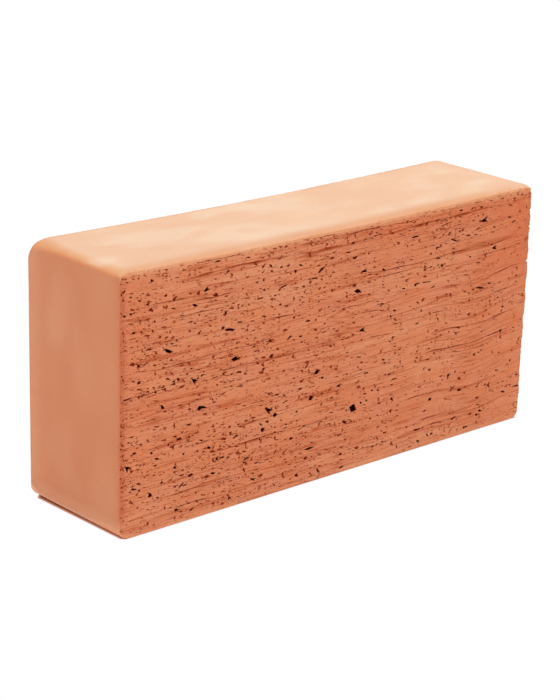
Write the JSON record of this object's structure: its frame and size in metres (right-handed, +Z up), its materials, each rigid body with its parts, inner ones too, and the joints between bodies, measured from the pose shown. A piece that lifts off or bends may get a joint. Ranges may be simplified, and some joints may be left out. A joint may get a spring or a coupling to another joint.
{
  "type": "clay brick",
  "caption": "Solid extruded, wire-cut clay brick in the standard single format, stood on its long narrow side, with rounded die corners, a slightly hollow upper side and one worn vertex.",
  "frame": {"origin": "middle of the long narrow side that the brick stands on, at floor level", "axes": "+X along the length towards the header where the cutting wire left the clay, +Y through the thickness from one wire-cut bed face to the other, +Z up"},
  "size_m": [0.25, 0.065, 0.12],
  "materials": {
    "fired_clay": "unglazed fired terracotta clay: matt, smooth die skin on the four narrow sides, dragged and pitted wire-cut texture on the two big bed faces"
  },
  "bodies": {
    "root": {"brick": "fired_clay"}
  },
  "joints": []
}
